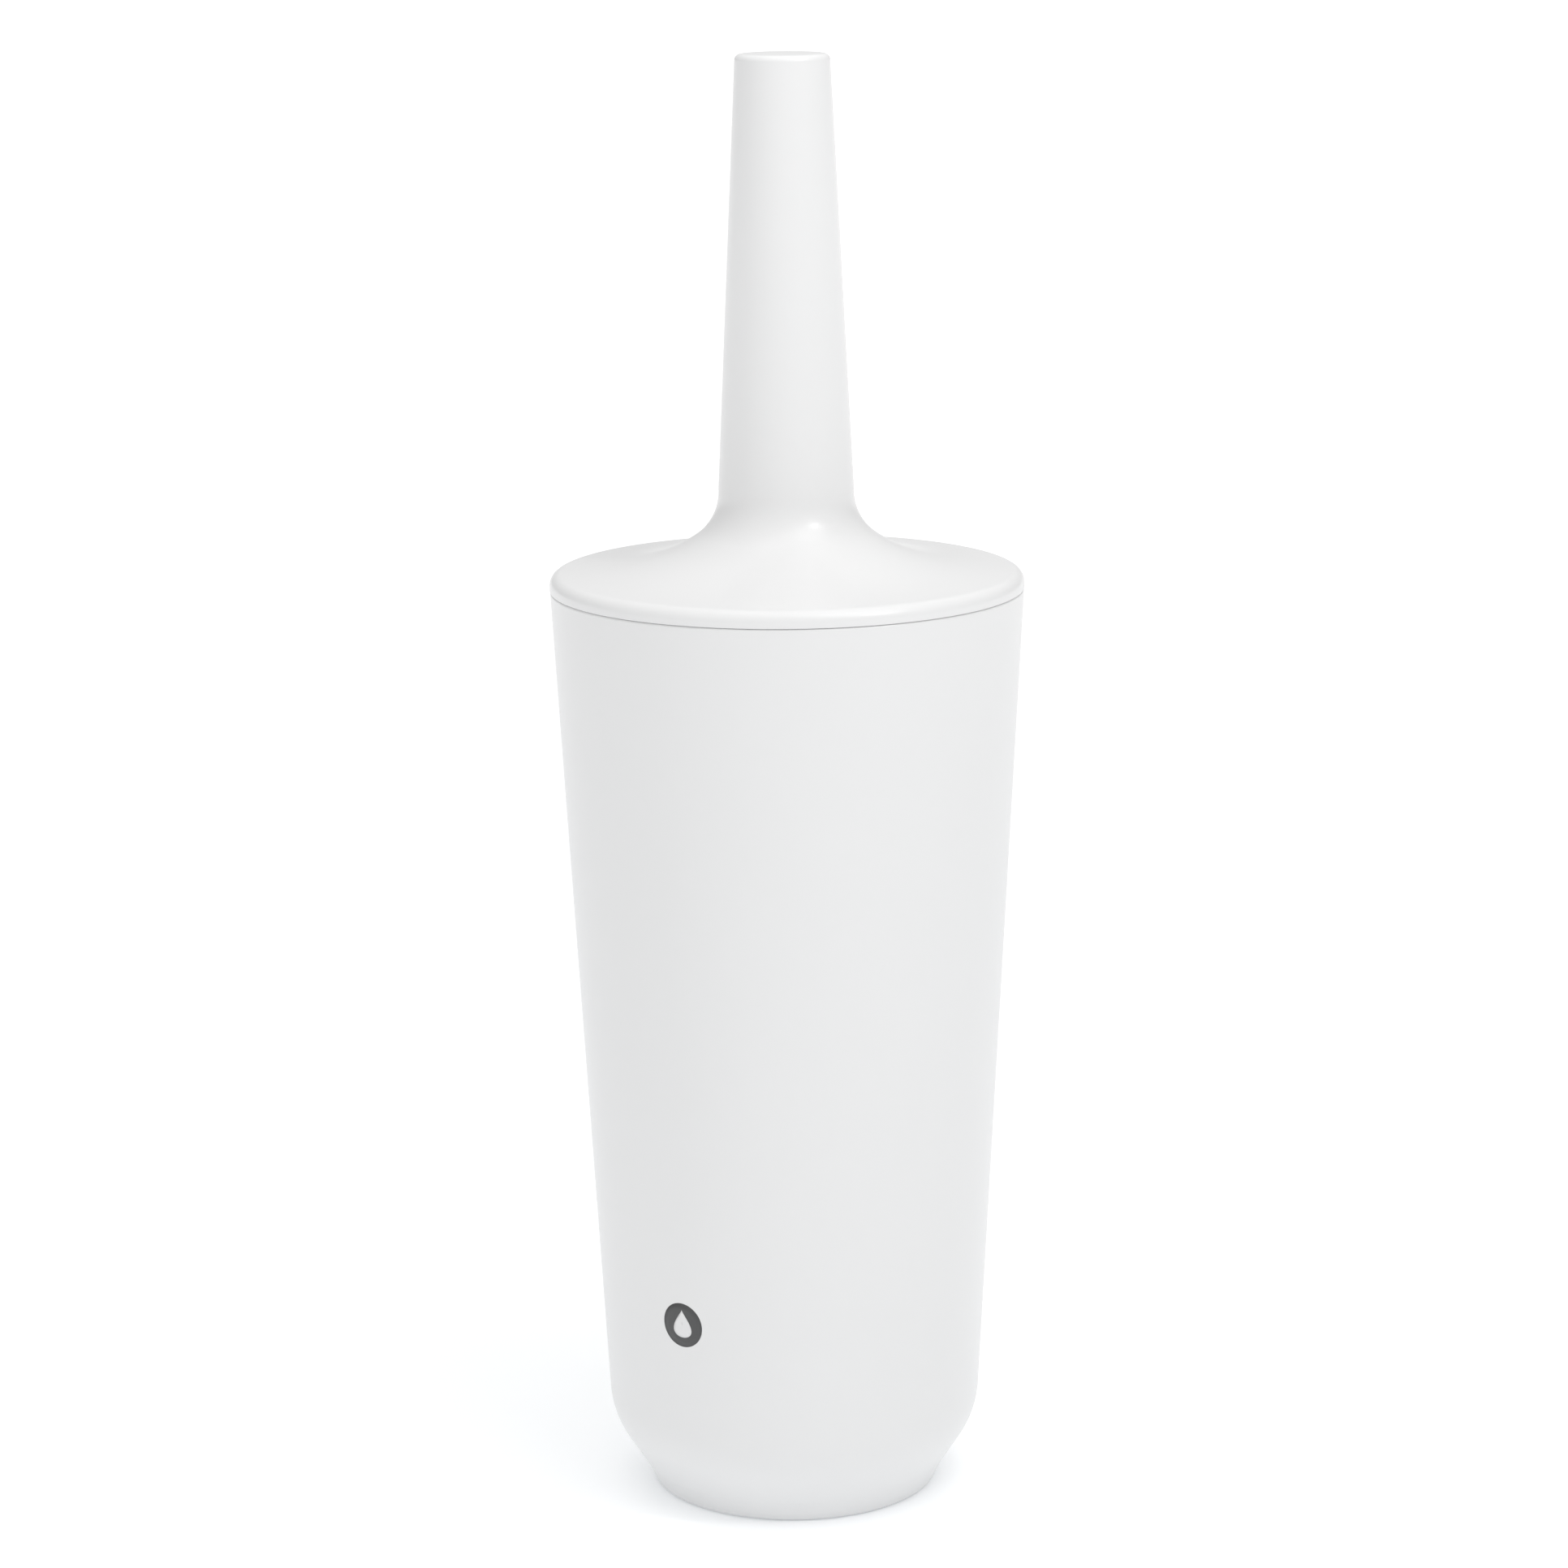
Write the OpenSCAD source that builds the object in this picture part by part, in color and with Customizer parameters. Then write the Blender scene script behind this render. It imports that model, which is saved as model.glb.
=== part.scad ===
// Toilet brush holder: a tapered canister, a lid that carries the handle,
// and a brush whose stick screws up into the lid.
// The origin is the centre of the base on the floor, +Z is up.

/* [Canister] */
// Outer diameter of the canister at its mouth
mouth_d = 127; // [120:1:134]
// Height of the canister's rim above the floor
canister_h = 250.6; // [245:0.1:260]
// Lean of the canister's wall from upright, in degrees
wall_lean = 3.154; // [2.6:0.01:3.6]
// Thickness of the canister's wall and floor
wall_t = 2.4; // [2:0.1:3]
// Height of the short foot under the bevel
foot_h = 6.2; // [5:0.1:7]
// Outer diameter of the foot where the bevel starts
foot_d = 83.6; // [82:0.1:85]
// Lean of the bevel from upright, in degrees
bevel_lean = 33; // [30:0.5:36]
// Radius that rounds the bevel into the wall
shoulder_r = 25.5; // [18:0.5:28]
// Height of the inside floor
floor_z = 8; // [7.6:0.1:9]
// Rounding of the rim's outer edge
rim_round = 1; // [0.6:0.1:1.2]

/* [Foot ring] */
// Outer diameter of the soft ring that the canister stands on
ring_d = 76.2; // [75.8:0.1:76.4]
// Width of the soft ring
ring_w = 3.8; // [3.6:0.1:4.4]
// Height of the ring below the foot
ring_h = 1.6; // [1.2:0.1:2]
// Height of the lip that hides the ring, above the floor
lip_z = 0.5; // [0.4:0.1:0.8]

/* [Lid and handle] */
// Outer diameter of the lid
lid_d = 127.2; // [126:0.1:129]
// Wall of the lid and of the hollow handle
lid_t = 2.6; // [2.2:0.1:3]
// Rounding of the lid's top edge
lid_round = 3.2; // [2.8:0.1:3.6]
// Level that the lid's sweep flattens towards
sweep_low = 254.4; // [254:0.1:254.8]
// Radius of the neck where the handle runs into the lid
neck_r = 14.7; // [13.5:0.1:16]
// Height of the middle of the neck's arc
neck_z = 276.8; // [276:0.1:278]
// Angle at which the neck's arc hands over to the lid's sweep
neck_turn = 36; // [34:1:40]
// Height of the handle's top
top_z = 392; // [380:1:400]
// Diameter of the handle at its top
handle_d = 25.2; // [24:0.1:27]
// Lean of the handle from upright, in degrees
handle_lean = 2.76; // [2.5:0.01:3]
// Rounding of the handle's top edge
top_round = 1.8; // [1.2:0.1:2.4]

/* [Underplate and thread] */
// Thickness of the plate that closes the lid from below
plate_t = 1.8; // [1.6:0.1:1.8]
// Outer diameter of the skirt that centres the lid in the mouth
skirt_d = 119.6; // [118:0.1:119.8]
// Depth of the skirt below the plate
skirt_h = 8; // [6:0.5:9]
// Diameter of the boss that holds the threaded bush
boss_d = 20; // [19:0.5:22]
// Length of the boss below the plate
boss_drop = 10.7; // [10:0.1:11]
// Number of ribs that brace the boss
rib_n = 6; // [4:1:8]
// Outer diameter of the threaded bush
bush_d = 14; // [13:0.5:15]
// Diameter of the thread
thread_d = 10; // [9:0.5:11]
// Distance that the stick drops while it unscrews
thread_travel = 12; // [9:0.5:12]

/* [Stick] */
// Diameter of the stick
stick_d = 13; // [11:0.5:14]
// Diameter of the stick's collar
collar_d = 18; // [17:0.5:19]
// Thickness of the sealing washer
washer_t = 1.5; // [1:0.1:2]

/* [Brush head] */
// Diameter of the head's core
core_d = 26; // [25:0.5:28]
// Height of the middle of the core's round end
core_z = 56; // [55:0.5:58]
// Overall diameter of the brush
brush_d = 76; // [70:1:80]
// Number of rows round the core
row_n = 7; // [5:1:7]
// Distance between rows
row_pitch = 8; // [7.6:0.1:8.4]
// Tufts in each row
tuft_n = 10; // [8:1:10]
// Diameter of a tuft where it is held
tuft_d = 3.2; // [2.6:0.1:3.2]
// Diameter of a tuft at its free end
tuft_end_d = 7.2; // [6:0.1:7.4]

/* [Hidden] */
$fn = 48;
gap = 0.1;                                // between pieces that come apart
snug = 0.05;                              // between pieces that stay together
mouth_r = mouth_d / 2;
foot_r = foot_d / 2;
lip_in = ring_d / 2 + 0.2;                // inside of the lip round the soft ring
base_r = foot_r - (foot_h - lip_z) * 0.5; // outer radius of the lip
ring_in = ring_d / 2 - ring_w;
groove = [ring_d / 2 - 2.7, ring_d / 2 - 1.3, 3.6];  // inner radius, outer radius, top
tl = tan(wall_lean);
tb = tan(bevel_lean);
corner_z = (mouth_r - canister_h * tl - foot_r + foot_h * tb) / (tb - tl);
corner = [foot_r + (corner_z - foot_h) * tb, corner_z];
shoulder_c = corner + shoulder_r * tan((bevel_lean - wall_lean) / 2) * [sin(wall_lean), cos(wall_lean)]
           + shoulder_r * [-cos(wall_lean), sin(wall_lean)];
lid_r = lid_d / 2;
lid_z = canister_h + gap;                 // underside of the lid's rim
th = tan(handle_lean);
neck_c = [handle_line(neck_z) + neck_r / cos(handle_lean), neck_z];
sweep_start = neck_c + neck_r * [-sin(neck_turn), -cos(neck_turn)];
sweep_rise = sweep_start[1] - sweep_low;
sweep_len = sweep_rise / tan(neck_turn);
lid_round_c = lid_r - lid_round;          // radius of the middle of the lid's edge rounding
recess_r = lid_r - 3.4;                   // recess under the lid that takes the plate
plate_top = lid_z + plate_t;
boss_z = lid_z - boss_drop;
bush_h = 15;
collar_top = boss_z - washer_t - 2 * gap;
collar_h = 3.5;
collar_cone = 4;
stick_end = core_z + 22;
core_top = core_z + (row_n - 1) * row_pitch + 12;
core_r = core_d / 2;
hole_depth = 4.5;
anchor = [3.0, 0.35, 1.8];                // width, thickness and depth of a tuft's wire anchor
tip_rings = [[60, 10], [30, 6], [0, 1]];  // angle from the core's axis, tufts
tip_reach = 36;
tip_end_d = 9;
tuft_step = 360 / tuft_n;

// Outer radius of the canister's wall and of the handle at a height
function wall_line(z) = mouth_r - (canister_h - z) * tl;
function handle_line(z) = handle_d / 2 + (top_z - top_round - z) * tan(handle_lean);

// Points along an arc, with the middle, the radius and the two angles
function arc(c, r, a0, a1, n = 8) =
    [for (i = [0:n]) let (a = a0 + (a1 - a0) * i / n) c + r * [cos(a), sin(a)]];

// The lid's upper surface outside the neck falls away as an exponential
function sweep_z(r) = sweep_low + sweep_rise * exp(-(r - sweep_start[0]) / sweep_len);
function sweep_slope(r) = -(sweep_z(r) - sweep_low) / sweep_len;
// A point on that surface, moved down square to it by t
function sweep_point(r, t) = let (s = sweep_slope(r), n = sqrt(1 + s * s))
    [r + t * s / n, sweep_z(r) - t / n];

module canister() {
    inner_bevel = foot_r + (floor_z - foot_h) * tb - wall_t / cos(bevel_lean);
    rim_c = [wall_line(canister_h - rim_round) - rim_round, canister_h - rim_round];
    rim_in = wall_line(canister_h) - wall_t;
    color("white") rotate_extrude() polygon(concat(
        [[base_r, lip_z], [foot_r, foot_h]],
        arc(shoulder_c, shoulder_r, -bevel_lean, -wall_lean),
        arc(rim_c, rim_round, 0, 90, 5),
        [[rim_in + 0.4, canister_h], [rim_in, canister_h - 0.4]],
        arc(shoulder_c, shoulder_r - wall_t, -wall_lean, -bevel_lean),
        [[inner_bevel, floor_z], [0, floor_z], [0, floor_z - wall_t], [ring_in, floor_z - wall_t],
         [ring_in, ring_h], [groove[0], ring_h], [groove[0], groove[2]],
         [groove[1], groove[2]], [groove[1], ring_h], [lip_in, ring_h], [lip_in, lip_z]]));
}

module foot_ring() {
    edge = 0.4;
    color("lightgray") rotate_extrude() polygon([
        [ring_in + edge, 0], [ring_d / 2 - edge, 0], [ring_d / 2, edge], [ring_d / 2, ring_h],
        [groove[1] - snug, ring_h], [groove[1] - snug, groove[2] - 0.1],
        [groove[0] + snug, groove[2] - 0.1], [groove[0] + snug, ring_h],
        [ring_in, ring_h], [ring_in, edge]]);
}

module lid_handle() {
    edge = 0.4;
    last_a = atan(-1 / sweep_slope(lid_round_c));
    last_p = sweep_point(lid_round_c + lid_round * cos(last_a), 0);
    round_c = last_p - lid_round * [cos(last_a), sin(last_a)];
    steps = 14;
    sweep_out = [for (i = [1:steps - 1]) last_p[0] + (sweep_start[0] - last_p[0]) * i / steps];
    sweep_back = [for (i = [steps - 1:-1:1]) recess_r + (sweep_start[0] - recess_r) * i / steps];
    top_c = [handle_line(top_z - top_round) - top_round, top_z - top_round];
    roof = top_z - lid_t;
    color("white") rotate_extrude() polygon(concat(
        [[recess_r, lid_z], [lid_r - edge, lid_z], [lid_r, lid_z + edge]],
        arc(round_c, lid_round, 0, last_a),
        [for (r = sweep_out) sweep_point(r, 0)],
        arc(neck_c, neck_r, 270 - neck_turn, 180 - handle_lean, 10),
        arc(top_c, top_round, -handle_lean, 90, 6),
        [[0, top_z], [0, roof], [handle_line(roof) - lid_t - 1, roof], [handle_line(roof - 1) - lid_t, roof - 1]],
        arc(neck_c, neck_r + lid_t, 180 - handle_lean, 270 - neck_turn, 10),
        [for (r = sweep_back) sweep_point(r, lid_t)],
        [[recess_r, sweep_z(recess_r) - lid_t]]));
}

module lid_underplate() {
    skirt_r = skirt_d / 2;
    boss_r = boss_d / 2;
    boss_top = lid_z + 7;
    rib_len = 34;
    rib_drop = 6;
    color("white") difference() {
        union() {
            translate([0, 0, lid_z]) cylinder(h = plate_t, r = recess_r - gap);
            translate([0, 0, boss_z]) cylinder(h = boss_top - boss_z, r = boss_r);
            for (i = [0:rib_n - 1]) rotate(i * 360 / rib_n) rotate([90, 0, 0])
                translate([0, 0, -0.8]) linear_extrude(1.6) polygon([[boss_r - 1, lid_z + 0.5],
                    [rib_len, lid_z + 0.5], [rib_len, lid_z - 1], [boss_r - 1, lid_z - rib_drop]]);
            difference() {
                translate([0, 0, lid_z - skirt_h]) cylinder(h = skirt_h + 0.5, r = skirt_r);
                translate([0, 0, lid_z - skirt_h - 1]) cylinder(h = skirt_h + 1, r = skirt_r - 2);
            }
        }
        translate([0, 0, boss_z - 1]) cylinder(h = bush_h + 1.5, r = bush_d / 2);
    }
}

module thread_bush() {
    color("lightgray") translate([0, 0, boss_z]) difference() {
        cylinder(h = bush_h, r = bush_d / 2);
        translate([0, 0, -1]) cylinder(h = bush_h + 2, r = thread_d / 2 + snug);
    }
}

module seal_washer() {
    color("dimgray") translate([0, 0, collar_top + gap]) difference() {
        cylinder(h = washer_t, r = collar_d / 2);
        translate([0, 0, -1]) cylinder(h = washer_t + 2, r = thread_d / 2 + snug);
    }
}

module stick() {
    stud_end = boss_z + thread_travel + 0.3;
    chamfer = 0.8;
    color("white") rotate_extrude() polygon([
        [0, stick_end], [stick_d / 2 - chamfer, stick_end], [stick_d / 2, stick_end + chamfer],
        [stick_d / 2, collar_top - collar_h - collar_cone], [collar_d / 2, collar_top - collar_h],
        [collar_d / 2, collar_top], [thread_d / 2, collar_top],
        [thread_d / 2, stud_end - chamfer], [thread_d / 2 - chamfer, stud_end], [0, stud_end]]);
}

// Puts a child, drawn along +X, at each tuft of one row round the core
module round_row(i) {
    for (k = [0:tuft_n - 1])
        translate([0, 0, core_z + i * row_pitch]) rotate((k + (i % 2) / 2) * tuft_step) children();
}

// The same for a ring of tufts on the core's round end
module tip_ring(i) {
    for (k = [0:tip_rings[i][1] - 1])
        translate([0, 0, core_z]) rotate((k + i / 2) * 360 / tip_rings[i][1])
            rotate([0, 90 - tip_rings[i][0], 0]) children();
}

module tuft(reach, end_d) {
    start = core_r - hole_depth + anchor[2] + snug;
    rotate([0, 90, 0]) {
        translate([0, 0, start]) cylinder(h = core_r + 0.5 - start, r = tuft_d / 2);
        translate([0, 0, core_r + 0.5]) cylinder(h = reach - core_r - 0.5, r1 = tuft_d / 2, r2 = end_d / 2);
    }
}

module tuft_hole() {
    translate([core_r - hole_depth, 0, 0]) rotate([0, 90, 0])
        cylinder(h = hole_depth + 1, r = tuft_d / 2 + snug);
}

module wire_anchor() {
    translate([core_r - hole_depth + snug, -anchor[0] / 2, -anchor[1] / 2])
        cube([anchor[2] - snug, anchor[0], anchor[1]]);
}

module head_core() {
    neck = 4;
    color("white") difference() {
        union() {
            translate([0, 0, core_z]) sphere(r = core_r);
            translate([0, 0, core_z]) cylinder(h = core_top - neck - core_z, r = core_r);
            translate([0, 0, core_top - neck]) cylinder(h = neck, r1 = core_r, r2 = core_r - neck);
        }
        translate([0, 0, stick_end - 1]) cylinder(h = core_top - stick_end + 2, r = stick_d / 2 + snug);
        for (i = [0:row_n - 1]) round_row(i) tuft_hole();
        for (i = [0:len(tip_rings) - 1]) tip_ring(i) tuft_hole();
    }
}

module tuft_anchors() {
    color("silver") {
        for (i = [0:row_n - 1]) round_row(i) wire_anchor();
        for (i = [0:len(tip_rings) - 1]) tip_ring(i) wire_anchor();
    }
}

module tuft_row(i) {
    if (i < row_n) color("whitesmoke") round_row(i) tuft(brush_d / 2, tuft_end_d);
}

module tip_row(i) {
    color("whitesmoke") tip_ring(i) tuft(tip_reach, tip_end_d);
}

canister();
foot_ring();
lid_handle();
lid_underplate();
thread_bush();
seal_washer();
stick();
head_core();
tuft_anchors();
tuft_row(0);  // tuft_row_1
tuft_row(1);  // tuft_row_2
tuft_row(2);  // tuft_row_3
tuft_row(3);  // tuft_row_4
tuft_row(4);  // tuft_row_5
tuft_row(5);  // tuft_row_6
tuft_row(6);  // tuft_row_7
tip_row(0);  // tip_row_1
tip_row(1);  // tip_row_2
tip_row(2);  // tip_row_3
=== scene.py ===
import math
import bpy
import numpy as np
from mathutils import Matrix, Vector


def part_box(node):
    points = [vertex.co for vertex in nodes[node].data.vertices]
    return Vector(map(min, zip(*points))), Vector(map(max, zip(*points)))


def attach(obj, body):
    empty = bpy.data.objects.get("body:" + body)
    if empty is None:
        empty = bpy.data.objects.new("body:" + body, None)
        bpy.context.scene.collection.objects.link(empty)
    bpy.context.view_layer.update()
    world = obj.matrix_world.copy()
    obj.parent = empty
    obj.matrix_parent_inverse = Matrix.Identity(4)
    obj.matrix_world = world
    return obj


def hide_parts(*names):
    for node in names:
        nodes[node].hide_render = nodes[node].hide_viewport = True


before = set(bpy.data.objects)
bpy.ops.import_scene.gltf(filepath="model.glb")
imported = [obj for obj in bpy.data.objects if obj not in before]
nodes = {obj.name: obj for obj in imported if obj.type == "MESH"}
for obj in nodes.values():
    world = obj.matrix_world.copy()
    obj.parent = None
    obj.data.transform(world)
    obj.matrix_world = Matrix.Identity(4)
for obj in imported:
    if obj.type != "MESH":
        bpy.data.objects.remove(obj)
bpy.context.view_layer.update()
scene = bpy.context.scene
mm = 0.001
fullTurn = 2 * math.pi
rng = np.random.default_rng(41)

view = {
    "lens": 102.11, "sensor": 36.0,          # mm
    "back": 1.17597, "height": 0.45466,      # m, from the axis and from the floor
    "pitch": 12.381, "roll": -0.53,          # degrees
    "shift": -0.00312,                       # share of the frame's width
}
cameraData = bpy.data.cameras.new("camera")
cameraData.lens = view["lens"]
cameraData.sensor_width = view["sensor"]
cameraData.shift_x = view["shift"]
cameraObject = bpy.data.objects.new("camera", cameraData)
scene.collection.objects.link(cameraObject)
cameraObject.matrix_world = (
    Matrix.Translation((0, -view["back"], view["height"]))
    @ Matrix.Rotation(math.radians(90 - view["pitch"]), 4, "X")
    @ Matrix.Rotation(math.radians(view["roll"]), 4, "Z")
)
scene.camera = cameraObject
scene.view_settings.view_transform = "Standard"


# One socket of a material. Sums on it add Math nodes, and add() makes any other node.
class Wire:
    def __init__(self, tree, socket=None):
        self.tree = tree
        self.socket = socket

    def add(self, kind, settings=None, inputs=None, output=0):
        made = self.tree.nodes.new("ShaderNode" + kind)
        for name, value in (settings or {}).items():
            setattr(made, name, value)
        for name, value in (inputs or {}).items():
            if isinstance(value, Wire):
                self.tree.links.new(value.socket, made.inputs[name])
            else:
                made.inputs[name].default_value = value
        return Wire(self.tree, made.outputs[output] if made.outputs else None)

    def maths(self, operation, *values):
        return self.add("Math", {"operation": operation}, dict(enumerate(values)))

    def __add__(self, other):
        return self.maths("ADD", self, other)

    def __radd__(self, other):
        return self.maths("ADD", other, self)

    def __sub__(self, other):
        return self.maths("SUBTRACT", self, other)

    def __rsub__(self, other):
        return self.maths("SUBTRACT", other, self)

    def __mul__(self, other):
        return self.maths("MULTIPLY", self, other)

    def __rmul__(self, other):
        return self.maths("MULTIPLY", other, self)

    def __pow__(self, other):
        return self.maths("POWER", self, other)

    # 0 below low, 1 above high, and a smooth rise between
    def rise(self, low, high):
        return self.add("MapRange", {"interpolation_type": "SMOOTHSTEP"},
                        {0: self, 1: low, 2: high})

    # Soft noise from 0 to 1, with features about 1 / scale metres across
    def noise(self, scale, detail=2.0, rough=0.5):
        return self.add("TexNoise", None, {"Vector": self, "Scale": scale,
                                           "Detail": detail, "Roughness": rough})


def newMaterial(name):
    made = bpy.data.materials.new(name)
    made.use_nodes = True
    made.node_tree.nodes.clear()
    start = Wire(made.node_tree)
    return made, start, start.add("TexCoord", None, None, "Object")


# Ends a material: constants go on the shader's own sockets, and wires feed what changes
def finishMaterial(start, sockets, bumpHeight=None, bumpDepth=0.0):
    if bumpHeight is not None:
        bump = start.add("Bump", None, {"Height": bumpHeight, "Strength": 1.0, "Distance": bumpDepth})
        sockets = {**sockets, "Normal": bump}
    shader = start.add("BsdfPrincipled", None, sockets)
    start.add("OutputMaterial", None, {0: shader})


# A colour between two, mixed by a wire
def blendColours(amount, low, high):
    return amount.add("Mix", {"data_type": "RGBA"}, {0: amount, 6: low, 7: high}, 2)


def grey(value, warm=0.0):
    return (value * (1 + warm), value, value * (1 - warm), 1.0)


moulding = {
    "cloudShade": 0.988,     # how dark the clouds go, as a share of the value
    "patchScale": 0.11,      # scale of the patches in the gloss, as a share of the grain's
}


# Moulded plastic: faint clouds in the colour, soft patches in the gloss, fine grain from the tool's
# surface and slow waves from cooling
def mouldedPlastic(name, look):
    made, start, place = newMaterial(name)
    clouds = place.noise(look["cloudScale"], 3.0)
    grain = place.noise(look["grainScale"], 2.0)
    waves = place.noise(look["waveScale"], 1.0)
    patches = place.noise(look["grainScale"] * moulding["patchScale"], 4.0, 0.6)
    shade = grey(look["value"] * moulding["cloudShade"], look["warm"])
    colour = blendColours(clouds, shade, grey(look["value"], look["warm"]))
    rough = look["rough"] + (patches - 0.5) * look["roughSpread"]
    height = grain * look["grainDepth"] + waves * look["waveDepth"]
    finishMaterial(start, {
        "Base Color": colour, "Roughness": rough, "IOR": 1.49,
        "Coat Weight": look["coat"], "Coat Roughness": look["coatRough"],
    }, height, mm)
    return made


whitePlastic = mouldedPlastic("satin white plastic", {
    "value": 0.80, "warm": 0.0, "rough": 0.31, "roughSpread": 0.05, "coat": 0.2, "coatRough": 0.16,
    "cloudScale": 35, "grainScale": 2600, "grainDepth": 0.0006, "waveScale": 18, "waveDepth": 0.02,
})
innerPlastic = mouldedPlastic("fine matt white plastic", {
    "value": 0.78, "warm": 0.004, "rough": 0.48, "roughSpread": 0.12, "coat": 0.0, "coatRough": 0.2,
    "cloudScale": 45, "grainScale": 1900, "grainDepth": 0.010, "waveScale": 30, "waveDepth": 0.03,
})
acetal = mouldedPlastic("natural acetal", {
    "value": 0.66, "warm": 0.02, "rough": 0.36, "roughSpread": 0.08, "coat": 0.0, "coatRough": 0.2,
    "cloudScale": 90, "grainScale": 2400, "grainDepth": 0.006, "waveScale": 60, "waveDepth": 0.02,
})
softRubber = mouldedPlastic("soft off-white rubber", {
    "value": 0.72, "warm": 0.005, "rough": 0.72, "roughSpread": 0.14, "coat": 0.0, "coatRough": 0.3,
    "cloudScale": 120, "grainScale": 1500, "grainDepth": 0.006, "waveScale": 90, "waveDepth": 0.02,
})
blackRubber = mouldedPlastic("washer rubber", {
    "value": 0.05, "warm": 0.0, "rough": 0.6, "roughSpread": 0.14, "coat": 0.0, "coatRough": 0.3,
    "cloudScale": 200, "grainScale": 1500, "grainDepth": 0.03, "waveScale": 200, "waveDepth": 0.01,
})
inkLook = {
    "roughSpread": 0.1, "coat": 0.0, "coatRough": 0.3,
    "cloudScale": 600, "grainScale": 3000, "grainDepth": 0.004, "waveScale": 300, "waveDepth": 0.0,
}
darkInk = mouldedPlastic("dark grey printing ink", {**inkLook, "value": 0.075, "warm": -0.01, "rough": 0.42})
paleInk = mouldedPlastic("white printing ink", {**inkLook, "value": 0.78, "warm": 0.0, "rough": 0.4})

wireLook = {
    "value": 0.62, "warm": 0.01, "lineScale": 2500, "squeeze": 8, "rough": 0.25, "roughSpread": 0.2,
}
filamentLook = {
    "dull": (0.86, 0.004), "bright": (0.96, 0.0),        # value and warmth
    "glossScale": 900, "rough": 0.30, "roughSpread": 0.14,
}


# Drawn flat wire: noise squeezed along Z gives it fine lines
def drawnWire():
    w = wireLook
    made, start, place = newMaterial("drawn steel wire")
    squeezed = start.add("Mapping", None, {0: place, "Scale": (1, 1, w["squeeze"])})
    lines = squeezed.noise(w["lineScale"], 2.0)
    finishMaterial(start, {"Base Color": grey(w["value"], w["warm"]), "Metallic": 1.0,
                           "Roughness": w["rough"] + lines * w["roughSpread"]})
    return made


# Synthetic filament: each has its own tone, with a soft gloss along it
def filamentPlastic():
    f = filamentLook
    made, start, place = newMaterial("white filament")
    tone = start.add("Attribute", {"attribute_name": "tone"}, None, 2)
    rough = f["rough"] + place.noise(f["glossScale"], 1.0) * f["roughSpread"]
    finishMaterial(start, {"Base Color": blendColours(tone, grey(*f["dull"]), grey(*f["bright"])),
                           "Roughness": rough, "IOR": 1.53})
    return made


steelWire = drawnWire()
filament = filamentPlastic()
print("materials made")


# Puts whole arrays into a mesh. Each set of faces is an array with one row of corners for each face.
def makePiece(name, points, faceSets, material):
    corners = np.concatenate([np.asarray(faces).ravel() for faces in faceSets]).astype(np.int32)
    sizes = np.concatenate([np.full(len(faces), faces.shape[1]) for faces in faceSets])
    mesh = bpy.data.meshes.new(name)
    mesh.vertices.add(len(points))
    mesh.vertices.foreach_set("co", np.asarray(points, np.float32).ravel())
    mesh.loops.add(len(corners))
    mesh.loops.foreach_set("vertex_index", corners)
    mesh.polygons.add(len(sizes))
    mesh.polygons.foreach_set("loop_start", np.concatenate([[0], np.cumsum(sizes)[:-1]]).astype(np.int32))
    mesh.polygons.foreach_set("use_smooth", np.ones(len(sizes), bool))
    mesh.update(calc_edges=True)
    mesh.validate()
    mesh.materials.append(material)
    made = bpy.data.objects.new(name, mesh)
    scene.collection.objects.link(made)
    return made


# Carries a piece with a body, in place of CAD nodes, which it hides. slot is not used.
def settle(piece, body, slot, *replaced):
    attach(piece, body)
    if replaced:
        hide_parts(*replaced)


# The lower and upper end of a CAD node, in mm
def nodeBottom(node):
    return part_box(node)[0].z / mm


def nodeTop(node):
    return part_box(node)[1].z / mm


# The corners of the quads of a grid of rows by columns, going round in either direction where it is closed
def gridFaces(rows, columns, closedRows, closedColumns):
    i = np.arange(rows if closedRows else rows - 1)[:, None]
    j = np.arange(columns if closedColumns else columns - 1)[None, :]
    nextI, nextJ = (i + 1) % rows, (j + 1) % columns
    quads = [i * columns + j, nextI * columns + j, nextI * columns + nextJ, i * columns + nextJ]
    return np.stack(np.broadcast_arrays(*quads), -1).reshape(-1, 4)


# An outline with its corners rounded. Each corner is (radius from the axis, height, rounding): the arc
# touches both straight sides at rounding / tan(half the corner's angle) from the corner.
def roundCorners(corners, closed=False, steps=7):
    corners = np.asarray(corners, float)
    places, last = [], len(corners) - 1
    for i, (r, z, rounding) in enumerate(corners):
        corner = np.array([r, z])
        if rounding == 0 or (not closed and i in (0, last)):
            places.append(corner[None])
            continue
        back = corners[i - 1, :2] - corner
        ahead = corners[(i + 1) % len(corners), :2] - corner
        back, ahead = back / np.linalg.norm(back), ahead / np.linalg.norm(ahead)
        half = math.acos(np.clip(back @ ahead, -1, 1)) / 2
        middle = corner + (back + ahead) / np.linalg.norm(back + ahead) * rounding / math.sin(half)
        arms = corner + np.outer([rounding / math.tan(half)] * 2, [1, 1]) * [back, ahead] - middle
        start, end = np.arctan2(arms[:, 1], arms[:, 0])
        turn = (end - start + math.pi) % fullTurn - math.pi
        angles = start + turn * np.linspace(0, 1, steps + 1)
        places.append(middle + rounding * np.stack([np.cos(angles), np.sin(angles)], -1))
    return np.concatenate(places)


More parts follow.
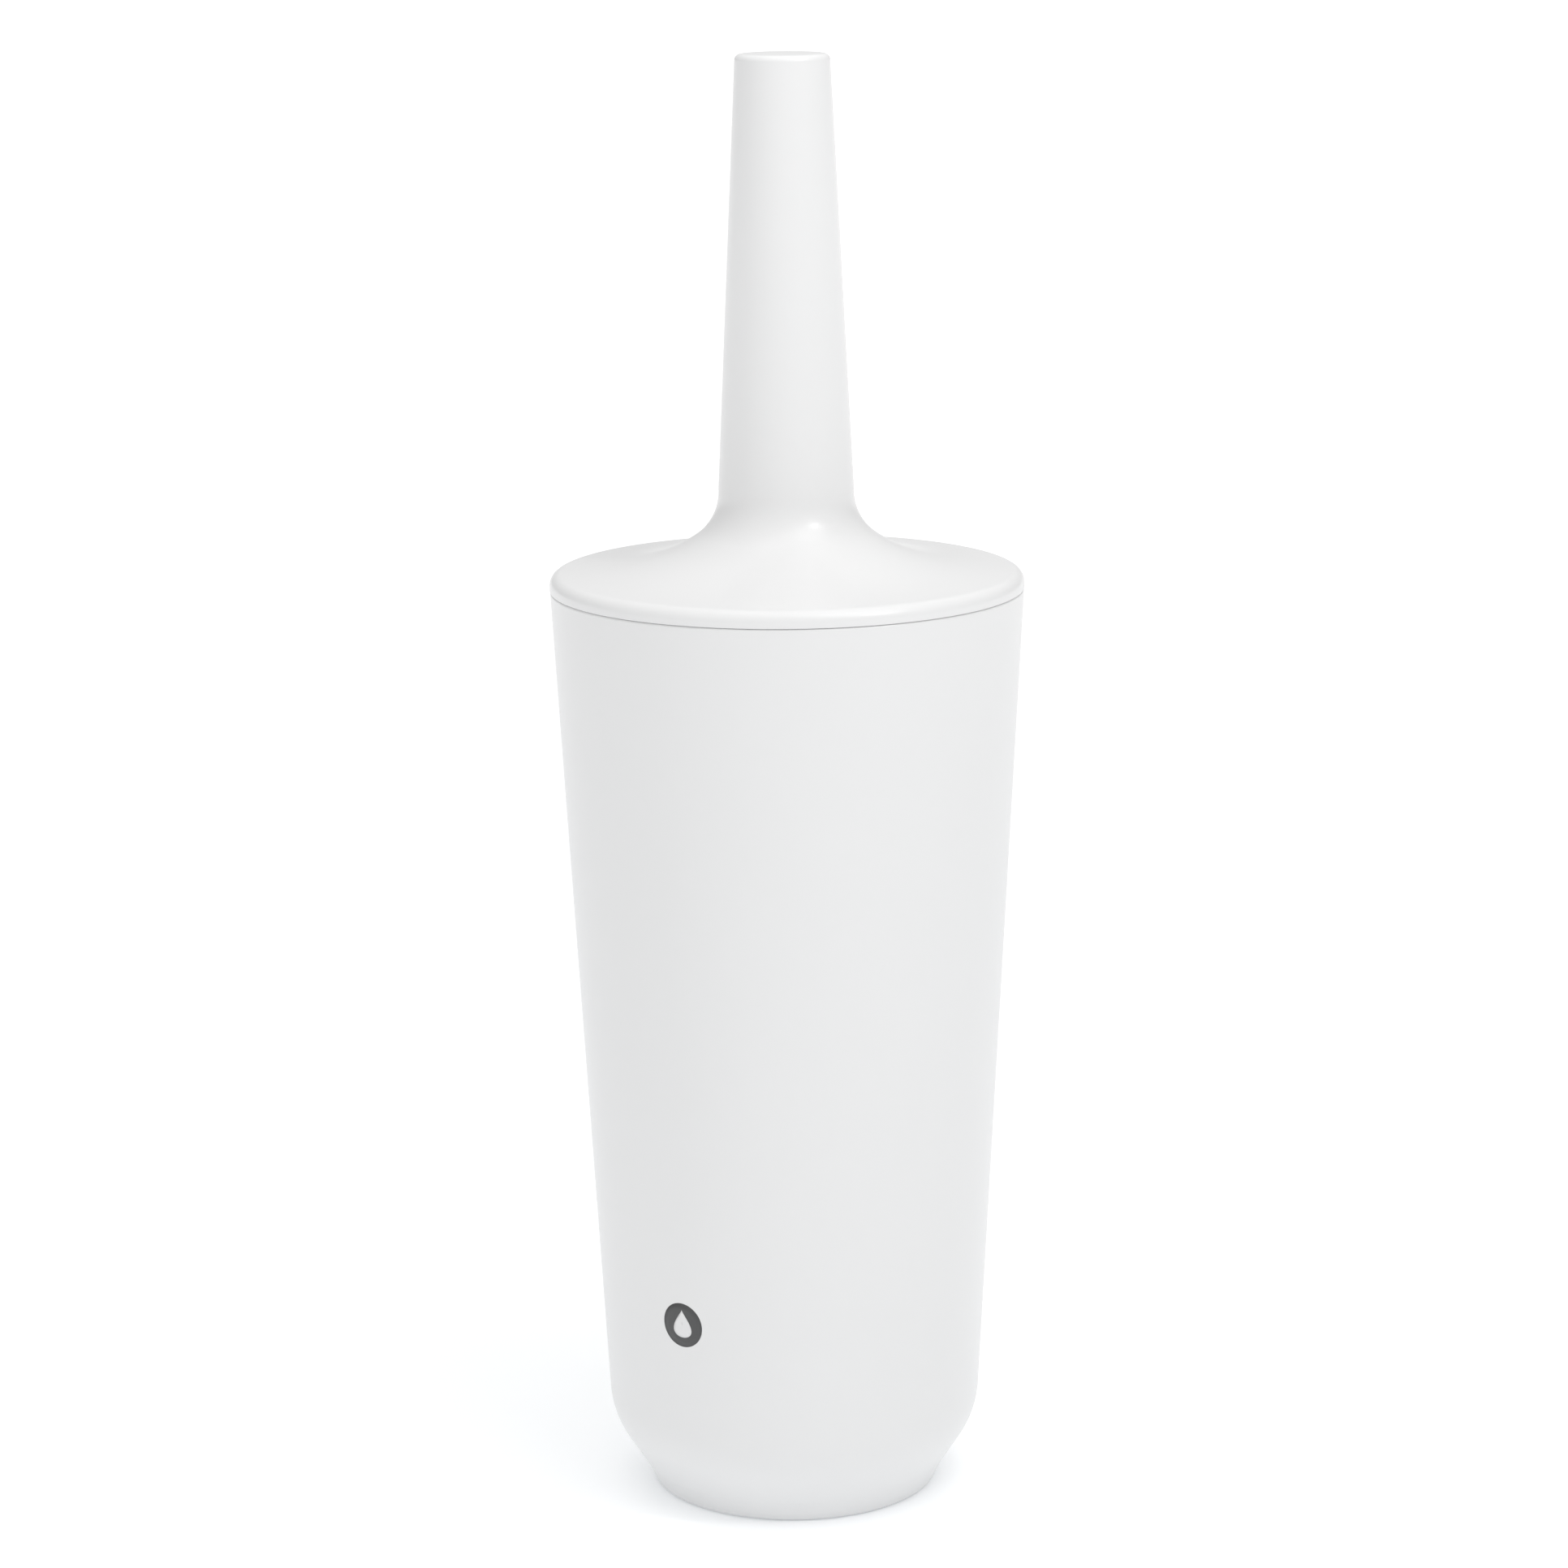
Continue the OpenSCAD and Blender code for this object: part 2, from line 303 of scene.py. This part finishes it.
# A profile carried round the axis: a point is (r cos a, r sin a, z). Where the profile starts or ends on
# the axis, its ring shrinks to one point, and the faces there are triangles. swell gives what is added to
# r at an angle and a height.
def turnedPiece(name, profile, material, turns, closed=False, swell=None):
    profile = np.asarray(profile, float) * mm
    startPole = profile[0, 0] < 1e-9 and not closed
    endPole = profile[-1, 0] < 1e-9 and not closed
    rings = profile[int(startPole):len(profile) - int(endPole)]
    angles = np.arange(turns)[:, None] * fullTurn / turns
    r, z = rings[None, :, 0], rings[None, :, 1]
    if swell is not None:
        r = r + swell(angles, z) * mm
    height = np.broadcast_to(z, (turns, len(rings)))
    points = np.stack([r * np.cos(angles), r * np.sin(angles), height], -1).reshape(-1, 3)
    faceSets = [gridFaces(turns, len(rings), True, closed)]
    first = np.arange(turns) * len(rings)
    for pole, place, flip in ((startPole, profile[0], False), (endPole, profile[-1], True)):
        if not pole:
            continue
        edge = first + (len(rings) - 1 if flip else 0)
        centre = np.full(turns, len(points))
        points = np.concatenate([points, [[0, 0, place[1]]]])
        following = np.roll(edge, -1)
        corners = [edge, following, centre] if flip else [following, edge, centre]
        faceSets.append(np.stack(corners, -1))
    return makePiece(name, points, faceSets, material)


canister = {
    "mouth": 63.5, "height": 250.6, "lean": 3.154, "wall": 2.4,        # mm and degrees
    "footHeight": 6.2, "foot": 41.8, "bevel": 33.0, "shoulder": 25.5,
    "floor": 8.0, "rimRound": 0.6, "ringTop": 1.6, "recess": 34.3,
    "lip": (38.3, 38.95, 0.5), "groove": (35.4, 36.8, 3.6),            # inner r, outer r, z
    "gate": (1.6, 0.4), "turns": 288,                                  # r and depth
}


# Where the line of the bevel meets the line of the wall, moved inwards by t
def shoulderCorner(t):
    lean, bevel = math.radians(canister["lean"]), math.radians(canister["bevel"])
    wallAtFloor = canister["mouth"] - canister["height"] * math.tan(lean) - t / math.cos(lean)
    bevelAtFloor = canister["foot"] - canister["footHeight"] * math.tan(bevel) - t / math.cos(bevel)
    z = (wallAtFloor - bevelAtFloor) / (math.tan(bevel) - math.tan(lean))
    return bevelAtFloor + z * math.tan(bevel), z


# The outline of the wall, outside and inside, joined at the foot to that of the recess, the ring's groove
# and the gate mark
def makeCanister():
    c = canister
    wall, top, underside = c["wall"], c["height"], c["floor"] - c["wall"]
    inner = c["mouth"] - wall / math.cos(math.radians(c["lean"]))
    bevel = math.radians(c["bevel"])
    innerFoot = c["foot"] + (c["floor"] - c["footHeight"]) * math.tan(bevel) - wall / math.cos(bevel)
    grooveIn, grooveOut, grooveTop = c["groove"]
    lipIn, lipOut, lipLow = c["lip"]
    outline = roundCorners([
        (lipIn + 0.1, lipLow, 0), (lipOut, lipLow, 0.15), (c["foot"], c["footHeight"], 4.0),
        (*shoulderCorner(0), c["shoulder"]), (c["mouth"], top, c["rimRound"]),
        (inner, top, 0.5), (*shoulderCorner(wall), c["shoulder"] - wall), (innerFoot, c["floor"], 3.0),
        (0, c["floor"], 0),
    ], steps=10)
    gate, gateDepth = c["gate"]
    below = roundCorners([
        (0, underside - gateDepth, 0), (gate, underside - gateDepth, 0.2), (gate + 0.5, underside, 0.3),
        (c["recess"], underside, 0.8), (c["recess"], c["ringTop"], 0.2),
        (grooveIn, c["ringTop"], 0.1), (grooveIn, grooveTop, 0.1),
        (grooveOut, grooveTop, 0.1), (grooveOut, c["ringTop"], 0.1), (lipIn, c["ringTop"], 0.2),
        (lipIn, lipLow, 0),
    ], steps=3)
    profile = np.concatenate([below, outline])
    made = turnedPiece("canister_shell", profile, whitePlastic, c["turns"])
    settle(made, "holder", "canister_plastic", "canister")


makeCanister()
print("canister made")

lid = {
    "radius": 63.6, "underside": 250.7, "wall": 2.6, "edgeRound": 3.2, "rimWidth": 3.4,   # mm
    "sweepLow": 254.4, "neckRound": 14.7, "neckMiddle": 276.8, "neckTurn": 36.0,          # mm and degrees
    "top": 392.0, "topRadius": 12.6, "lean": 2.76, "topRound": 1.8, "turns": 288,
}


# Radius of the handle at a height: a straight taper
def handleRadius(z):
    return lid["topRadius"] + (lid["top"] - lid["topRound"] - z) * math.tan(math.radians(lid["lean"]))


# Where the neck's arc hands over to the lid's sweep, and the arc's middle
def neckPlaces():
    turn, lean = math.radians(lid["neckTurn"]), math.radians(lid["lean"])
    fromAxis = handleRadius(lid["neckMiddle"]) + lid["neckRound"] / math.cos(lean)
    middle = np.array([fromAxis, lid["neckMiddle"]])
    return middle, middle - lid["neckRound"] * np.array([math.sin(turn), math.cos(turn)])


# The lid's sweep outside the neck: its height over a low level falls as an exponential of the radius, and
# starts with the slope that the neck's arc ends with. Gives the points, moved down square to the sweep by
# t, and the slope.
def lidSweep(r, t=0.0):
    start = neckPlaces()[1]
    rise = start[1] - lid["sweepLow"]
    length = rise / math.tan(math.radians(lid["neckTurn"]))
    height = rise * np.exp(-(r - start[0]) / length)
    slope = -height / length
    size = np.sqrt(1 + slope ** 2)
    return np.stack([r + t * slope / size, lid["sweepLow"] + height - t / size], -1), slope


# The arc between the sweep and the straight handle, moved inwards by t, from the sweep up
def neckArc(t, steps=24):
    low = 1.5 * math.pi - math.radians(lid["neckTurn"])
    angles = np.linspace(low, math.pi - math.radians(lid["lean"]), steps)
    return neckPlaces()[0] + (lid["neckRound"] + t) * np.stack([np.cos(angles), np.sin(angles)], -1)


# One profile: the inside from the handle's roof down to the lid's recess, round the rim, and up the
# outside to the handle's top
def makeLid():
    top, wall, low, edge = lid["top"], lid["wall"], lid["underside"], lid["edgeRound"]
    recess, roof = lid["radius"] - lid["rimWidth"], lid["top"] - lid["wall"]
    sweepStart = neckPlaces()[1][0]
    # the rim's top edge is an arc that ends with the slope of the sweep
    lean = math.atan(-lidSweep(np.array([lid["radius"] - edge]))[1][0])
    sweepEnd = lid["radius"] - edge + edge * math.sin(lean)
    outside = lidSweep(np.linspace(sweepEnd, sweepStart, 48))[0][:-1]
    middle = outside[0] - edge * np.array([math.sin(lean), math.cos(lean)])
    angles = np.linspace(0, math.pi / 2 - lean, 14)
    rim = middle + edge * np.stack([np.cos(angles), np.sin(angles)], -1)
    under = lidSweep(np.linspace(sweepStart, recess, 24)[1:], wall)[0]
    inner = roundCorners([(0, roof, 0), (handleRadius(roof) - wall, roof, 1.2), (*neckArc(wall)[-1], 0)])
    lip = roundCorners([
        (recess, under[-1][1] - 0.02, 0), (recess, low, 0.2), (lid["radius"], low, 0.3), (*rim[0], 0),
    ])
    crown = roundCorners([
        (*neckArc(0)[-1], 0), (handleRadius(top), top, lid["topRound"]), (0, top, 0),
    ], steps=14)
    profile = np.concatenate([inner[:-1], neckArc(wall)[::-1], under, lip[:-1], rim, outside[1:],
                              neckArc(0)[:-1], crown])
    made = turnedPiece("lid_and_handle", profile, whitePlastic, lid["turns"])
    settle(made, "handle", "lid_plastic", "lid_handle")


makeLid()
print("lid and handle made")

footRing = {
    "outer": 38.1, "width": 3.8, "edge": 0.5, "tongue": (35.45, 36.75, 3.5),     # mm; inner r, outer r, z
    "ribs": 96, "ribDepth": 0.12, "ribTop": 1.2, "turns": 576,
}


# The soft ring under the foot, with fine grip ribs below ribTop that follow the cosine of the angle
def makeFootRing():
    f = footRing
    inner, seat = f["outer"] - f["width"], canister["ringTop"]
    tongueIn, tongueOut, tongueTop = f["tongue"]
    profile = roundCorners([
        (inner, 0, f["edge"]), (f["outer"], 0, f["edge"]), (f["outer"], seat, 0.1), (tongueOut, seat, 0),
        (tongueOut, tongueTop, 0.2), (tongueIn, tongueTop, 0.2), (tongueIn, seat, 0), (inner, seat, 0.1),
    ], closed=True)

    def grip(angle, z):
        wave = 0.5 + 0.5 * np.cos(f["ribs"] * angle)
        return -f["ribDepth"] * wave * (z < f["ribTop"] * mm) * (z > 0)

    made = turnedPiece("foot_ring_soft", profile, softRubber, f["turns"], closed=True, swell=grip)
    settle(made, "holder", "foot_rubber", "foot_ring")


makeFootRing()
print("foot ring made")

mark = {
    "azimuth": -124.4, "height": 58.0,           # degrees, mm
    "disc": 6.2, "drop": 3.9, "dropWidth": 1.05, "dropRise": 0.1,
    "inkDepth": 0.03, "sink": 0.1, "steps": 96,
}


# Lays a flat shape on the canister's wall: x runs round the wall and y up it, and h is the height over it
def onWall(x, y, h):
    z = mark["height"] + y
    wall = canister["mouth"] - (canister["height"] - z) * math.tan(math.radians(canister["lean"]))
    angle = math.radians(mark["azimuth"]) + x / wall
    return np.stack([(wall + h) * np.cos(angle), (wall + h) * np.sin(angle), z], -1).reshape(-1, 3) * mm


# A thin layer of ink within an outline (x, y) about its own middle: rings of it at several shares of its
# size, with the upper face first and the lower face after it, so that it closes
def printInk(name, x, y, low, high, ink):
    share = np.array([[0.002, 0.35, 0.7, 1, 1, 0.7, 0.35, 0.002]])
    h = np.broadcast_to([[high] * 4 + [low] * 4], (len(x), 8))
    caps = np.arange(len(x))[None, :] * 8
    faces = [gridFaces(len(x), 8, True, False), caps, caps[:, ::-1] + 7]
    made = makePiece(name, onWall(x * share, y * share, h), faces, ink)
    settle(made, "holder", "print_ink")


# A printed disc with a pale water drop on it. The drop's outline is (sin a * sin(a / 2)^1.5, cos a).
def makeMark():
    m = mark
    angles = np.arange(m["steps"])[:, None] * fullTurn / m["steps"]
    printInk("printed_disc", m["disc"] * np.sin(angles), m["disc"] * np.cos(angles),
             -m["sink"], m["inkDepth"], darkInk)
    width = m["dropWidth"] * m["drop"] * np.sin(angles / 2) ** 1.5
    printInk("printed_drop", width * np.sin(angles), m["drop"] * (np.cos(angles) + m["dropRise"]),
             -m["sink"], 2 * m["inkDepth"], paleInk)


makeMark()
print("mark made")

underplate = {
    "radius": 60.1, "thickness": 1.8, "skirt": 59.8, "skirtWall": 2.0, "skirtDrop": 8.0,    # mm
    "boss": 10.0, "bossRise": 7.0, "bore": 7.0, "boreDepth": 15.5, "turns": 192,
    "ribs": 6, "ribWidth": 1.6, "ribReach": 34.0, "ribDrop": 6.0, "ribEnd": 1.0,
    "ribSteps": 24, "ribSides": 20, "intoBoss": 1.0, "intoPlate": 0.3,
}


# The plate, its skirt and its boss, turned from one profile. The mouth of the bore is the boss's lower end.
def makeUnderplate():
    u = underplate
    plate, low = lid["underside"], nodeBottom("lid_underplate")
    upper, skirtEnd = plate + u["thickness"], plate - u["skirtDrop"]
    ceiling, bossTop = low + u["boreDepth"], plate + u["bossRise"]
    skirtIn = u["skirt"] - u["skirtWall"]
    profile = roundCorners([
        (0, ceiling, 0), (u["bore"], ceiling, 0.3), (u["bore"], low, 0.3),
        (u["boss"], low, 0.5), (u["boss"], plate, 1.2),
        (skirtIn, plate, 0.8), (skirtIn, skirtEnd, 0.5), (u["skirt"], skirtEnd, 0.7),
        (u["skirt"], plate, 0.1), (u["radius"], plate, 0.1), (u["radius"], upper, 0.3),
        (u["boss"], upper, 0.8), (u["boss"], bossTop, 0.5), (0, bossTop, 0),
    ], steps=5)
    made = turnedPiece("lid_underplate_turned", profile, innerPlastic, u["turns"])
    settle(made, "handle", "underplate_plastic", "lid_underplate")


# The ribs between boss and plate. Each is a rounded rectangle carried outwards, a circle pushed out to a
# square by the larger of |cos| and |sin| to the power 0.8. Its lower edge rises in a quarter of a cosine,
# so that it runs out softly on the plate.
def makeRibs():
    u = underplate
    plate = lid["underside"] + u["intoPlate"]
    steps, around = u["ribSteps"], u["ribSides"]
    x = np.linspace(u["boss"] - u["intoBoss"], u["ribReach"], steps)[:, None]
    along = (x - x[0]) / (x[-1] - x[0])
    low = plate - u["ribEnd"] - (u["ribDrop"] - u["ribEnd"]) * np.cos(along * math.pi / 2)
    angle = np.arange(around)[None, :] * fullTurn / around
    square = np.maximum(np.abs(np.cos(angle)), np.abs(np.sin(angle))) ** 0.8
    across = -np.cos(angle) / square * u["ribWidth"] / 2
    up = np.sin(angle) / square
    z = (plate + low) / 2 + up * (plate - low) / 2
    rib = np.stack(np.broadcast_arrays(x, across, z), -1).reshape(-1, 3) * mm
    turns = np.arange(u["ribs"]) * fullTurn / u["ribs"]
    cos, sin = np.cos(turns)[:, None], np.sin(turns)[:, None]
    points = np.stack([cos * rib[:, 0] - sin * rib[:, 1], sin * rib[:, 0] + cos * rib[:, 1],
                       np.broadcast_to(rib[:, 2], (u["ribs"], len(rib)))], -1).reshape(-1, 3)
    first = (np.arange(u["ribs"]) * len(rib))[:, None]
    sides = (gridFaces(steps, around, False, True)[None] + first[:, None]).reshape(-1, 4)
    caps = np.arange(around)[None]
    faces = [sides, caps + first, caps[:, ::-1] + (steps - 1) * around + first]
    made = makePiece("lid_underplate_ribs", points, faces, innerPlastic)
    settle(made, "handle", "underplate_plastic")


makeUnderplate()
makeRibs()
print("underplate made")

washer = {"inner": 5.3, "round": 0.5, "turns": 96}


# A flat ring with rounded edges, as high and as wide as its CAD node
def makeWasher():
    w = washer
    low, high = nodeBottom("seal_washer"), nodeTop("seal_washer")
    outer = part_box("seal_washer")[1].x / mm
    profile = roundCorners([
        (w["inner"], low, w["round"]), (outer, low, w["round"]),
        (outer, high, w["round"]), (w["inner"], high, w["round"]),
    ], closed=True)
    made = turnedPiece("seal_washer_soft", profile, blackRubber, w["turns"], closed=True)
    settle(made, "washer", "washer_rubber", "seal_washer")


makeWasher()

stick = {
    "radius": 6.5, "collar": 9.0, "collarHeight": 3.5, "collarCone": 4.0, "stud": 5.0,       # mm
    "threadDepth": 0.75, "pitch": 4.0, "threadStart": 0.8, "threadEnd": 1.2, "threadRings": 90,
    "turns": 128,
}


# The stick: rod, collar and threaded stud. The thread is a right-handed ridge: its depth follows a clipped
# cosine of (height / pitch - turns), and it fades out at both ends of the stud.
def makeStick():
    k = stick
    low, high = nodeBottom("stick"), nodeTop("stick")
    collarTop = nodeBottom("seal_washer") - 0.1
    collarLow = collarTop - k["collarHeight"]
    outline = roundCorners([
        (0, low, 0), (k["radius"], low, 0.8), (k["radius"], collarLow - k["collarCone"], 3.0),
        (k["collar"], collarLow, 0.6), (k["collar"], collarTop, 0.5), (k["stud"], collarTop, 0),
    ])
    rings = np.linspace(collarTop + 0.05, high - 0.9, k["threadRings"])
    end = roundCorners([(k["stud"], high - 0.85, 0), (k["stud"], high, 0.8), (0, high, 0)])
    stud = np.stack([np.full(len(rings), k["stud"]), rings], -1)
    profile = np.concatenate([outline, stud, end])

    def thread(angle, z):
        z = z / mm
        phase = z / k["pitch"] - angle / fullTurn
        ridge = np.clip(0.5 + 1.3 * np.cos(fullTurn * phase), 0, 1)
        fade = (np.clip((z - collarTop) / k["threadStart"], 0, 1)
                * np.clip((high - z) / k["threadEnd"], 0, 1))
        return -k["threadDepth"] * (1 - ridge) * fade * (z > collarTop + 0.01)

    made = turnedPiece("brush_stick", profile, whitePlastic, k["turns"], swell=thread)
    settle(made, "brush", "stick_plastic", "stick")


makeStick()

for node, material in (("head_core", innerPlastic), ("tuft_anchors", steelWire), ("thread_bush", acetal)):
    nodes[node].data.materials.clear()
    nodes[node].data.materials.append(material)
print("washer and stick made, core, anchors and bush coloured")

tufts = {
    "core": 13.0, "rootDepth": 2.0, "reach": 38.0, "bundle": 1.45, "perTuft": 46,    # mm and filaments
    "filament": 0.21, "sides": 5, "steps": 9, "endThin": 0.7,
    "spread": 4.6, "spreadRange": (0.75, 1.15), "placeRange": (0.2, 0.8), "bend": 1.4,
    "crimp": 0.16, "crimpLength": 4.6, "crimpStart": 3, "uneven": 0.7, "dome": 1.2,
    "rowTufts": 10, "rows": 7,
    "tips": ((60, 10), (30, 6), (0, 1)), "tipReach": 35.8, "tipSpread": 7.5,         # degrees and tufts
}


# The filaments of several tufts. A filament's middle line is root + axis * length * s + fan * s^1.4 + crimp,
# where s goes from 0 at the root to 1 at the trimmed end, fan points to its own place in the tuft's round
# end, and crimp is a sine along it. Its skin is a five-sided tube on that line, closed at both ends.
def makeTufts(name, axes, middle, reach, spread, node):
    t = tufts
    count, sides, steps = t["perTuft"], t["sides"], t["steps"]
    total = len(axes) * count
    axis = np.repeat(axes, count, axis=0)
    helper = np.where(np.abs(axis[:, 2:3]) > 0.9, [[1.0, 0, 0]], [[0, 0, 1.0]])
    side = np.cross(helper, axis)
    side /= np.linalg.norm(side, axis=1, keepdims=True)
    other = np.cross(axis, side)
    turn = rng.uniform(0, fullTurn, total)
    place = np.sqrt((np.tile(np.arange(count), len(axes)) + rng.uniform(*t["placeRange"], total)) / count)
    outward = np.cos(turn)[:, None] * side + np.sin(turn)[:, None] * other
    root = axis * (t["core"] - t["rootDepth"]) + outward * (place * t["bundle"])[:, None]
    fan = outward * (place * (spread - t["bundle"]) * rng.uniform(*t["spreadRange"], total))[:, None]
    uneven = rng.uniform(-t["uneven"], 0, total)
    length = reach - t["core"] + t["rootDepth"] + uneven - t["dome"] * place ** 2
    s = np.linspace(0, 1, steps)[None, :, None]
    line = root[:, None] + axis[:, None] * length[:, None, None] * s + fan[:, None] * s ** t["bend"]
    phase = rng.uniform(0, fullTurn, total)[:, None]
    wave = np.sin(fullTurn * length[:, None] * s[..., 0] / t["crimpLength"] + phase) * t["crimp"]
    lean = rng.uniform(0, fullTurn, total)
    crimpSide = np.cos(lean)[:, None] * side + np.sin(lean)[:, None] * other
    line = line + crimpSide[:, None] * (wave * np.minimum(1, s[..., 0] * t["crimpStart"]))[..., None]
    corner = np.arange(sides) * fullTurn / sides
    skin = np.cos(corner)[:, None] * side[:, None, :] + np.sin(corner)[:, None] * other[:, None, :]
    thin = np.where(np.arange(steps) == steps - 1, t["endThin"], 1.0)
    thick = t["filament"] * thin[None, :, None, None]
    points = (line[:, :, None] + skin[:, None] * thick).reshape(-1, 3) + [0, 0, middle]
    first = (np.arange(total) * steps * sides)[:, None]
    tube = gridFaces(steps, sides, False, True)
    caps = np.arange(sides)[None]
    faces = [(tube[None] + first[:, None]).reshape(-1, 4), caps[:, ::-1] + first,
             caps + (steps - 1) * sides + first]
    made = makePiece(name, points * mm, faces, filament)
    tone = made.data.attributes.new("tone", "FLOAT", "POINT")
    tone.data.foreach_set("value", np.repeat(rng.uniform(0, 1, total), steps * sides).astype(np.float32))
    settle(made, "brush", "filament", node)


# Rows of tufts round the core, each turned half a step from the next, and rings of tufts on its round end.
# A tip ring's axes lean from straight down by its own angle.
def makeBrushHead():
    t = tufts
    middle = (nodeBottom("tuft_row_1") + nodeTop("tuft_row_1")) / 2
    for row in range(t["rows"]):
        node = f"tuft_row_{row + 1}"
        height = (nodeBottom(node) + nodeTop(node)) / 2
        angles = (np.arange(t["rowTufts"]) + row % 2 / 2) * fullTurn / t["rowTufts"]
        axes = np.stack([np.cos(angles), np.sin(angles), np.zeros_like(angles)], -1)
        makeTufts(f"filaments_row_{row + 1}", axes, height, t["reach"], t["spread"], node)
    for ring, (fromAxis, number) in enumerate(t["tips"]):
        polar = math.radians(fromAxis)
        angles = (np.arange(number) + ring / 2) * fullTurn / number
        axes = np.stack([math.sin(polar) * np.cos(angles), math.sin(polar) * np.sin(angles),
                         np.full(number, -math.cos(polar))], -1)
        makeTufts(f"filaments_tip_{ring + 1}", axes, middle, t["tipReach"], t["tipSpread"],
                  f"tip_row_{ring + 1}")


makeBrushHead()
print("brush head made")

floorLook = {
    "edge": 60.0, "value": 0.92, "paperShade": 0.995,                       # m for edge and radii
    # near and far are the strengths of the floor's painted glow; nearWarm cools the near glow into a bluish
    # painted shade round the foot
    "near": 0.215, "nearWarm": -0.05, "nearRadius": 0.5, "far": 0.37, "farRadius": 2.0,
}


# A pale floor with painted light: its colour glows, weaker and cooler near the object as painted shade round
# the foot, stronger further out
def makeFloor():
    f = floorLook
    made, start, place = newMaterial("pale floor")
    distance = start.add("VectorMath", {"operation": "LENGTH"}, {0: place}, "Value")
    # The floor's glow: painted light, weaker and cooler near the object as painted shade, stronger far out
    paintedGlow = blendColours(distance.rise(f["nearRadius"], f["farRadius"]),
                         grey(f["near"], f["nearWarm"]), grey(f["far"]))
    paper = blendColours(place.noise(300, 2.0), grey(f["value"] * f["paperShade"]), grey(f["value"]))
    finishMaterial(start, {"Base Color": paper, "Roughness": 0.6, "Specular IOR Level": 0.2,
                           "Emission Color": paintedGlow, "Emission Strength": 1.0})
    edge = f["edge"]
    corners = [(-edge, -edge, 0), (edge, -edge, 0), (edge, edge, 0), (-edge, edge, 0)]
    makePiece("floor", corners, [np.array([[0, 1, 2, 3]])], made)


makeFloor()

lights = {
    "lobes": (                                      # direction and strength
        ((-1, -0.3, 0.2), 0.40), ((1, -0.4, 0.3), 0.205), ((0, -1, 0.25), 0.555),
        ((0, 0, 1), 0.96), ((0, 1, 0.3), 0.64),
    ),
    "softboxes": (                                  # direction, distance and size in metres, watts
        ("key", (0.587, -0.466, 0.62), 1.1, 0.08, 1.1),
        ("overhead", (0.1, -0.1, 1.0), 0.75, 0.8, 0.92),
        ("front top", (0.5, -0.5, 0.9), 0.7, 0.5, 0.85),
    ),
    "aim": (0, 0, 0.27),
}


# The room: each lobe adds the square of how far a direction points along it
def makeRoom():
    world = bpy.data.worlds.new("studio room")
    scene.world = world
    world.use_nodes = True
    world.node_tree.nodes.clear()
    start = Wire(world.node_tree)
    place = start.add("TexCoord", None, None, "Generated")
    total = None
    for direction, strength in lights["lobes"]:
        along = start.add("VectorMath", {"operation": "DOT_PRODUCT"},
                          {0: place, 1: Vector(direction).normalized()}, "Value")
        lobe = start.maths("MAXIMUM", along, 0.0) ** 2 * strength
        total = lobe if total is None else total + lobe
    background = start.add("Background", None, {"Color": grey(1.0), "Strength": total})
    start.add("OutputWorld", None, {0: background})


# Round lamps that face the aim from their own direction and distance
def makeSoftboxes():
    for name, direction, distance, size, watts in lights["softboxes"]:
        data = bpy.data.lights.new(name, "AREA")
        data.shape = "DISK"
        data.size = size
        data.energy = watts
        box = bpy.data.objects.new(name, data)
        scene.collection.objects.link(box)
        away = Vector(direction).normalized()
        box.location = Vector(lights["aim"]) + away * distance
        box.rotation_euler = away.to_track_quat("Z", "Y").to_euler()


makeRoom()
makeSoftboxes()
print("stage made")
